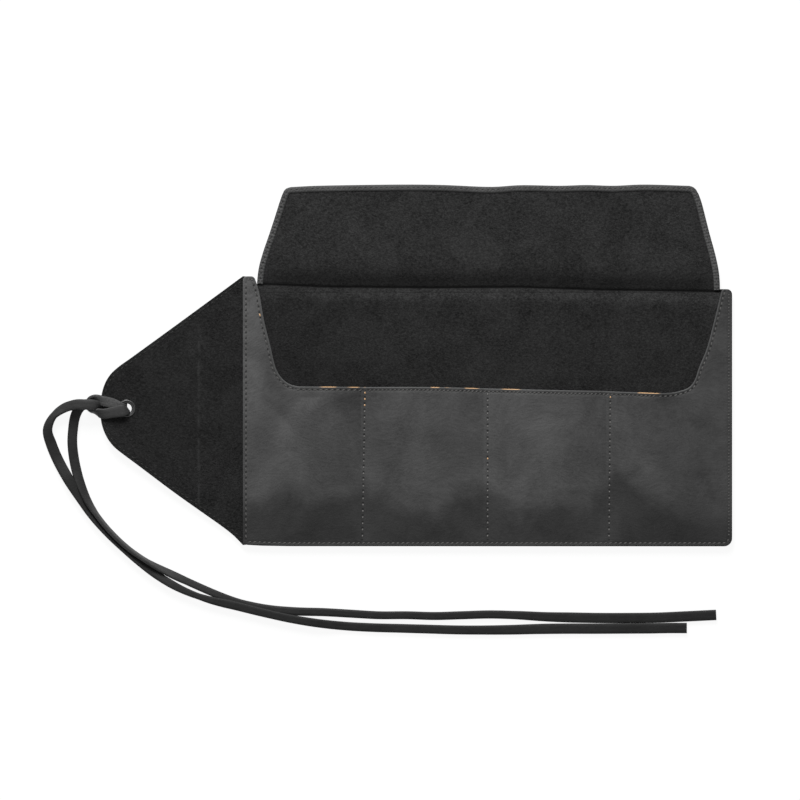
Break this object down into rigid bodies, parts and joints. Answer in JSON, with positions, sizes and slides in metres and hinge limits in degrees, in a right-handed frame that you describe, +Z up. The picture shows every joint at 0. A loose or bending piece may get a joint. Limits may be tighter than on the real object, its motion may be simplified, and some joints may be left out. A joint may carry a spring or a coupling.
{
  "type": "watch roll",
  "caption": "Flat leather roll case lying open: stitched pockets behind a scooped mouth, fold-over flap, pointed closing wing with an eyelet, and a long flat lace tie",
  "frame": {"origin": "on the table, under the middle of the open roll without its lace", "axes": "+X from the wing's side to the last section, +Y towards the flap, +Z up from the table"},
  "size_m": [0.4475, 0.2917, 0.0113],
  "materials": {
    "outer_leather": "smooth charcoal leather, satin",
    "pocket_leather": "smooth charcoal pull-up leather, satin, softly mottled",
    "suede": "near-black suede, matt with a nap",
    "hem_leather": "smooth grey turned edge, satin",
    "thread": "waxed grey thread",
    "eyelet_metal": "dark gunmetal, worn to bright on the crown",
    "lace_leather": "flat-cut lace, smooth dark grain side and rough flesh side"
  },
  "bodies": {
    "panel_1": {"back_leather_1": "outer_leather", "lining_1": "suede", "pocket_front_1": "pocket_leather", "panel_stitching_1": "thread", "lace_tail_long": "lace_leather", "lace_tail_short": "lace_leather"},
    "panel_2": {"back_leather_2": "outer_leather", "lining_2": "suede", "pocket_front_2": "pocket_leather", "panel_stitching_2": "thread"},
    "panel_3": {"back_leather_3": "outer_leather", "lining_3": "suede", "pocket_front_3": "pocket_leather", "panel_stitching_3": "thread"},
    "panel_4": {"back_leather_4": "outer_leather", "lining_4": "suede", "pocket_front_4": "pocket_leather", "panel_stitching_4": "thread"},
    "flap_1": {"flap_leather_1": "outer_leather", "flap_lining_1": "suede", "flap_hem_1": "hem_leather", "flap_stitching_1": "thread"},
    "flap_2": {"flap_leather_2": "outer_leather", "flap_lining_2": "suede", "flap_hem_2": "hem_leather", "flap_stitching_2": "thread"},
    "flap_3": {"flap_leather_3": "outer_leather", "flap_lining_3": "suede", "flap_hem_3": "hem_leather", "flap_stitching_3": "thread"},
    "flap_4": {"flap_leather_4": "outer_leather", "flap_lining_4": "suede", "flap_hem_4": "hem_leather", "flap_stitching_4": "thread"},
    "wing": {"wing_leather": "outer_leather", "wing_lining": "suede", "wing_stitching": "thread", "eyelet": "eyelet_metal", "eyelet_washer": "eyelet_metal", "lace_knot": "lace_leather"}
  },
  "joints": [
    {"name": "roll_fold_1", "type": "hinge", "parent": "panel_1", "child": "panel_2", "pos_m": [-0.03338, -0.04995, 0.004], "axis": [0, -1, 0], "range_deg": [0, 88]},
    {"name": "roll_fold_2", "type": "hinge", "parent": "panel_2", "child": "panel_3", "pos_m": [0.04602, -0.04995, 0.004], "axis": [0, -1, 0], "range_deg": [0, 88]},
    {"name": "roll_fold_3", "type": "hinge", "parent": "panel_3", "child": "panel_4", "pos_m": [0.12542, -0.04995, 0.004], "axis": [0, -1, 0], "range_deg": [0, 100]},
    {"name": "flap_fold_1", "type": "hinge", "parent": "panel_1", "child": "flap_1", "pos_m": [-0.07308, 0.05005, 0.00328], "axis": [1, 0, 0], "range_deg": [0, 180]},
    {"name": "flap_fold_2", "type": "hinge", "parent": "panel_2", "child": "flap_2", "pos_m": [0.00632, 0.05005, 0.00328], "axis": [1, 0, 0], "range_deg": [0, 180]},
    {"name": "flap_fold_3", "type": "hinge", "parent": "panel_3", "child": "flap_3", "pos_m": [0.08572, 0.05005, 0.00328], "axis": [1, 0, 0], "range_deg": [0, 180]},
    {"name": "flap_fold_4", "type": "hinge", "parent": "panel_4", "child": "flap_4", "pos_m": [0.16512, 0.05005, 0.00328], "axis": [1, 0, 0], "range_deg": [0, 180]},
    {"name": "wing_fold", "type": "hinge", "parent": "panel_1", "child": "wing", "pos_m": [-0.11278, -0.02795, 0.003], "axis": [0, 1, 0], "range_deg": [0, 84]}
  ],
  "couplings": [
    {"joint": "flap_fold_2", "follows": "flap_fold_1", "ratio": 1},
    {"joint": "flap_fold_3", "follows": "flap_fold_1", "ratio": 1},
    {"joint": "flap_fold_4", "follows": "flap_fold_1", "ratio": 1}
  ]
}
